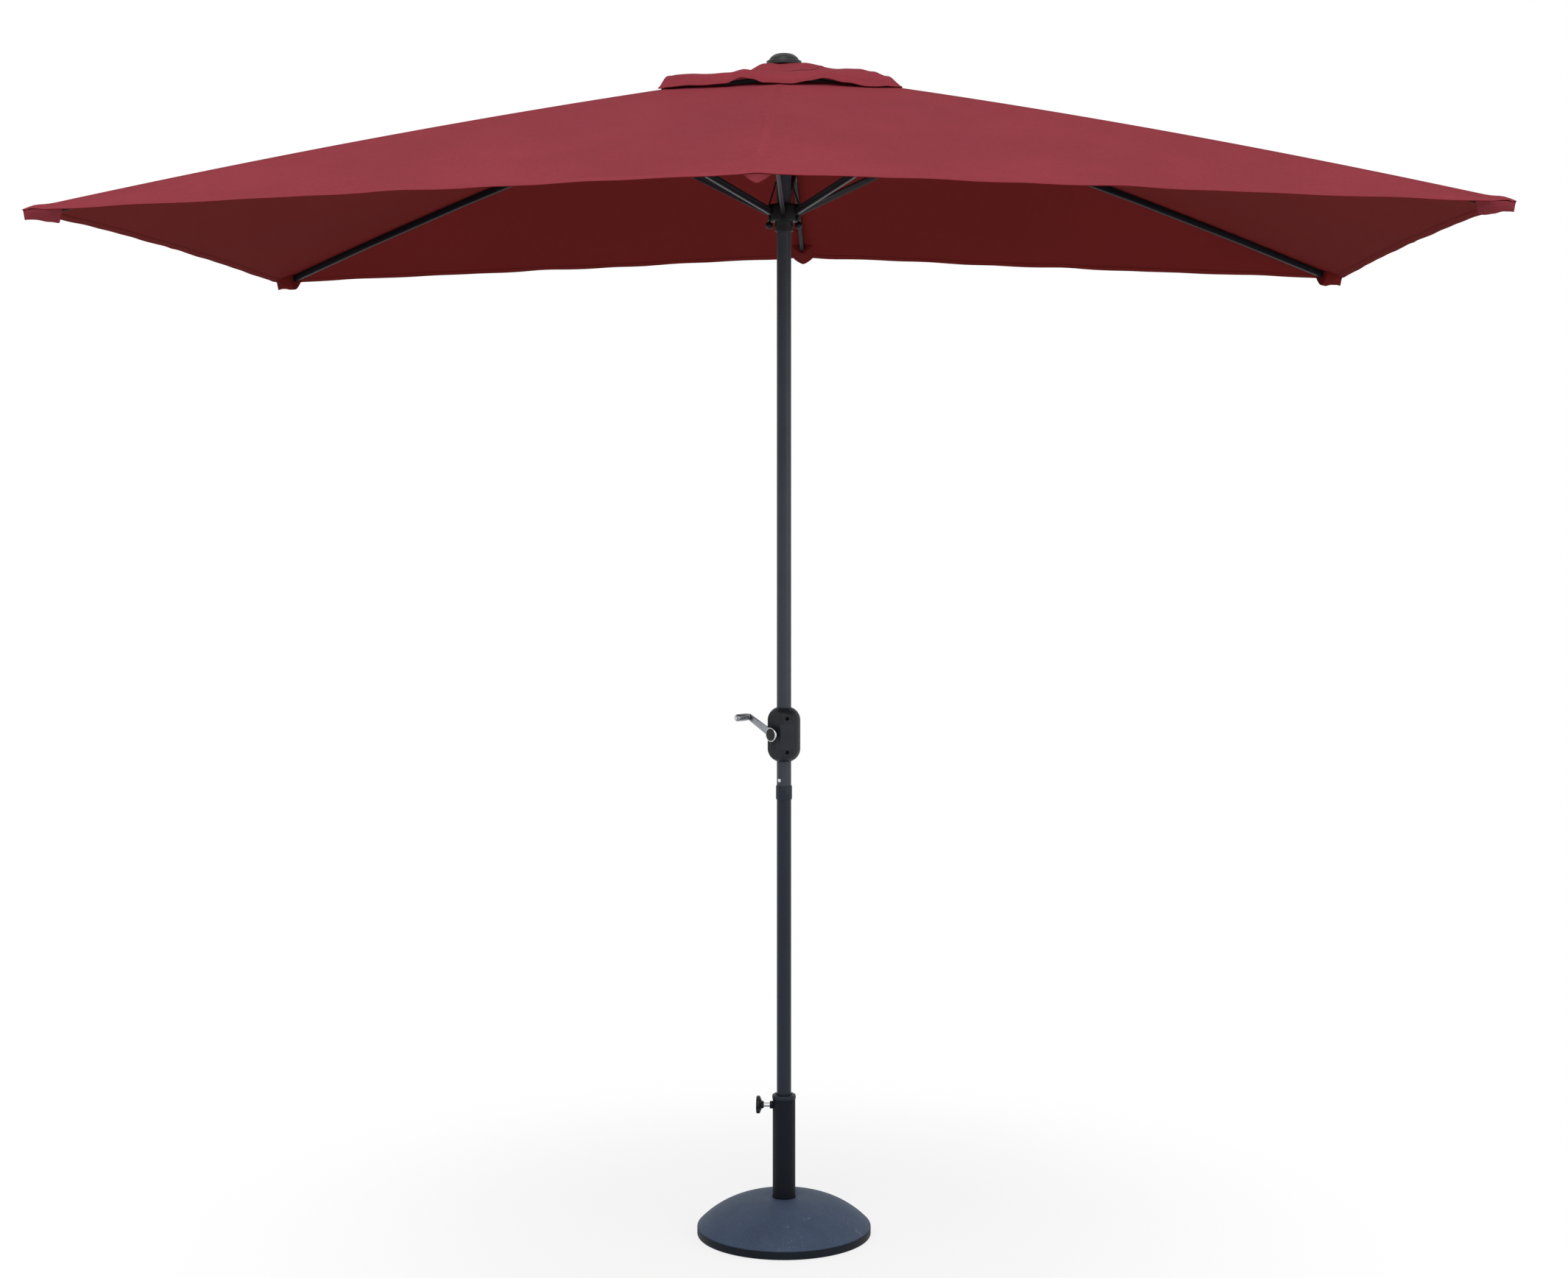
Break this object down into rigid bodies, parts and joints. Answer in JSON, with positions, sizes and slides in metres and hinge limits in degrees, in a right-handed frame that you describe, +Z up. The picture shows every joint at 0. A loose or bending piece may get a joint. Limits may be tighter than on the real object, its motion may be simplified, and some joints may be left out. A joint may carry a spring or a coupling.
{
  "type": "patio umbrella with base",
  "caption": "Rectangular market umbrella with a crank-lifted folding canopy on a two-section pole, standing in a round weighted base with a clamp screw.",
  "frame": {"origin": "centre of the base's underside, on the pole's axis", "axes": "+Z up the pole, X along the canopy's long side, the front with the open side of the clamp and crank towards -Y"},
  "size_m": [3, 2, 2.8438],
  "materials": {
    "base_resin": "slate grey cast resin, satin, lightly scuffed",
    "rubber": "matt rubber",
    "black_metal": "anthracite powder coat, fine satin",
    "black_plastic": "black moulded plastic, satin",
    "steel": "zinc plated",
    "chrome": "bright plated",
    "cloth": "burgundy woven polyester, matt",
    "cord": "black braided cord"
  },
  "bodies": {
    "base": {"base_weight": "base_resin", "base_feet": "rubber", "base_tube": "black_metal", "base_bolt": "steel", "tube_lower_bush": "black_plastic", "tube_top_ring": "black_plastic", "clamp_boss": "black_metal"},
    "clamp_screw": {"clamp_screw": "steel"},
    "clamp_knob": {"clamp_knob": "black_plastic"},
    "pole": {"lower_pole": "black_metal", "pole_foot_plug": "black_plastic", "pole_collar": "black_plastic", "pole_joiner": "black_metal", "upper_pole": "black_metal", "pole_top_plug": "black_plastic", "button_spring": "steel", "housing_front": "black_plastic", "housing_rear": "black_plastic", "housing_screws": "steel", "spool_bushes": "black_plastic", "upper_hub": "black_plastic", "hub_pins": "steel", "finial": "black_plastic", "finial_stud": "steel", "vent_cap": "cloth", "lift_cord_inner": "cord", "lift_cord_outer": "cord", "cord_grommets": "black_plastic"},
    "snap_button": {"snap_button": "steel"},
    "runner": {"runner": "black_plastic", "cord_beads": "black_plastic"},
    "crank": {"spool_shaft": "steel", "crank_hub": "chrome", "crank_arm": "chrome", "grip_pin": "steel"},
    "crank_grip": {"crank_grip": "chrome"},
    "rib_front_left": {"rib_front_left": "black_metal", "bracket_front_left": "black_plastic", "canopy_front_left": "cloth"},
    "strut_front_left": {"strut_front_left": "black_metal"},
    "rib_front_middle": {"rib_front_middle": "black_metal", "bracket_front_middle": "black_plastic", "canopy_front_middle": "cloth"},
    "strut_front_middle": {"strut_front_middle": "black_metal"},
    "rib_front_right": {"rib_front_right": "black_metal", "bracket_front_right": "black_plastic", "canopy_front_right": "cloth"},
    "strut_front_right": {"strut_front_right": "black_metal"},
    "rib_rear_right": {"rib_rear_right": "black_metal", "bracket_rear_right": "black_plastic", "canopy_rear_right": "cloth"},
    "strut_rear_right": {"strut_rear_right": "black_metal"},
    "rib_rear_middle": {"rib_rear_middle": "black_metal", "bracket_rear_middle": "black_plastic", "canopy_rear_middle": "cloth"},
    "strut_rear_middle": {"strut_rear_middle": "black_metal"},
    "rib_rear_left": {"rib_rear_left": "black_metal", "bracket_rear_left": "black_plastic", "canopy_rear_left": "cloth"},
    "strut_rear_left": {"strut_rear_left": "black_metal"}
  },
  "joints": [
    {"name": "clamp_advance", "type": "slide", "parent": "base", "child": "clamp_screw", "axis": [-1, 0, 0], "range_m": [0, 0.0045]},
    {"name": "clamp_turn", "type": "hinge", "parent": "clamp_screw", "child": "clamp_knob", "pos_m": [-0.0666, 0, 0.309], "axis": [-1, 0, 0], "range_deg": [0, 1081]},
    {"name": "pole_swivel", "type": "hinge", "parent": "base", "child": "pole", "pos_m": [0, 0, 0.04], "axis": [0, 0, 1], "continuous": true},
    {"name": "button_press", "type": "slide", "parent": "pole", "child": "snap_button", "axis": [0.5592, 0.829, 0], "range_m": [0, 0.0032], "stiffness_N_per_m": 900, "deforming": ["button_spring"]},
    {"name": "canopy_close", "type": "slide", "parent": "pole", "child": "runner", "axis": [0, 0, -1], "range_m": [0, 0.64], "deforming": ["canopy_front_left", "canopy_front_middle", "canopy_front_right", "canopy_rear_right", "canopy_rear_middle", "canopy_rear_left", "vent_cap", "lift_cord_outer"]},
    {"name": "crank_turn", "type": "hinge", "parent": "pole", "child": "crank", "pos_m": [0, 0, 1.205], "axis": [-0.6691, -0.7431, 0], "range_deg": [-2821.22, 0]},
    {"name": "grip_spin", "type": "hinge", "parent": "crank", "child": "crank_grip", "pos_m": [-0.09942, 0.00878, 1.24219], "axis": [-0.6691, -0.7431, 0], "continuous": true},
    {"name": "rib_fold_front_left", "type": "hinge", "parent": "pole", "child": "rib_front_left", "pos_m": [-0.02995, -0.01997, 2.78], "axis": [0.5547, -0.8321, 0], "range_deg": [0, 71.67]},
    {"name": "strut_fold_front_left", "type": "hinge", "parent": "rib_front_left", "child": "strut_front_left", "pos_m": [-0.40544, -0.27029, 2.66681], "axis": [-0.5547, 0.8321, 0], "range_deg": [0, 132.99]},
    {"name": "rib_fold_front_middle", "type": "hinge", "parent": "pole", "child": "rib_front_middle", "pos_m": [0, -0.036, 2.78], "axis": [1, 0, 0], "range_deg": [0, 64.95]},
    {"name": "strut_fold_front_middle", "type": "hinge", "parent": "rib_front_middle", "child": "strut_front_middle", "pos_m": [0, -0.48908, 2.60484], "axis": [-1, 0, 0], "range_deg": [0, 133.12]},
    {"name": "rib_fold_front_right", "type": "hinge", "parent": "pole", "child": "rib_front_right", "pos_m": [0.02995, -0.01997, 2.78], "axis": [0.5547, 0.8321, 0], "range_deg": [0, 71.67]},
    {"name": "strut_fold_front_right", "type": "hinge", "parent": "rib_front_right", "child": "strut_front_right", "pos_m": [0.40544, -0.27029, 2.66681], "axis": [-0.5547, -0.8321, 0], "range_deg": [0, 132.99]},
    {"name": "rib_fold_rear_right", "type": "hinge", "parent": "pole", "child": "rib_rear_right", "pos_m": [0.02995, 0.01997, 2.78], "axis": [-0.5547, 0.8321, 0], "range_deg": [0, 71.67]},
    {"name": "strut_fold_rear_right", "type": "hinge", "parent": "rib_rear_right", "child": "strut_rear_right", "pos_m": [0.40544, 0.27029, 2.66681], "axis": [0.5547, -0.8321, 0], "range_deg": [0, 132.99]},
    {"name": "rib_fold_rear_middle", "type": "hinge", "parent": "pole", "child": "rib_rear_middle", "pos_m": [0, 0.036, 2.78], "axis": [-1, 0, 0], "range_deg": [0, 64.95]},
    {"name": "strut_fold_rear_middle", "type": "hinge", "parent": "rib_rear_middle", "child": "strut_rear_middle", "pos_m": [0, 0.48908, 2.60484], "axis": [1, 0, 0], "range_deg": [0, 133.12]},
    {"name": "rib_fold_rear_left", "type": "hinge", "parent": "pole", "child": "rib_rear_left", "pos_m": [-0.02995, 0.01997, 2.78], "axis": [-0.5547, -0.8321, 0], "range_deg": [0, 71.67]},
    {"name": "strut_fold_rear_left", "type": "hinge", "parent": "rib_rear_left", "child": "strut_rear_left", "pos_m": [-0.40544, 0.27029, 2.66681], "axis": [0.5547, 0.8321, 0], "range_deg": [0, 132.99]}
  ],
  "couplings": [
    {"joint": "clamp_turn", "follows": "clamp_advance", "rad_per_m": 4188.8},
    {"joint": "crank_turn", "follows": "canopy_close", "rad_per_m": -76.923},
    {"joint": "rib_fold_front_left", "follows": "canopy_close", "rad_per_m": 1.954},
    {"joint": "strut_fold_front_left", "follows": "canopy_close", "rad_per_m": 3.6262},
    {"joint": "rib_fold_front_middle", "follows": "canopy_close", "rad_per_m": 1.7706},
    {"joint": "strut_fold_front_middle", "follows": "canopy_close", "rad_per_m": 3.6298},
    {"joint": "rib_fold_front_right", "follows": "canopy_close", "rad_per_m": 1.954},
    {"joint": "strut_fold_front_right", "follows": "canopy_close", "rad_per_m": 3.6262},
    {"joint": "rib_fold_rear_right", "follows": "canopy_close", "rad_per_m": 1.954},
    {"joint": "strut_fold_rear_right", "follows": "canopy_close", "rad_per_m": 3.6262},
    {"joint": "rib_fold_rear_middle", "follows": "canopy_close", "rad_per_m": 1.7706},
    {"joint": "strut_fold_rear_middle", "follows": "canopy_close", "rad_per_m": 3.6298},
    {"joint": "rib_fold_rear_left", "follows": "canopy_close", "rad_per_m": 1.954},
    {"joint": "strut_fold_rear_left", "follows": "canopy_close", "rad_per_m": 3.6262}
  ]
}
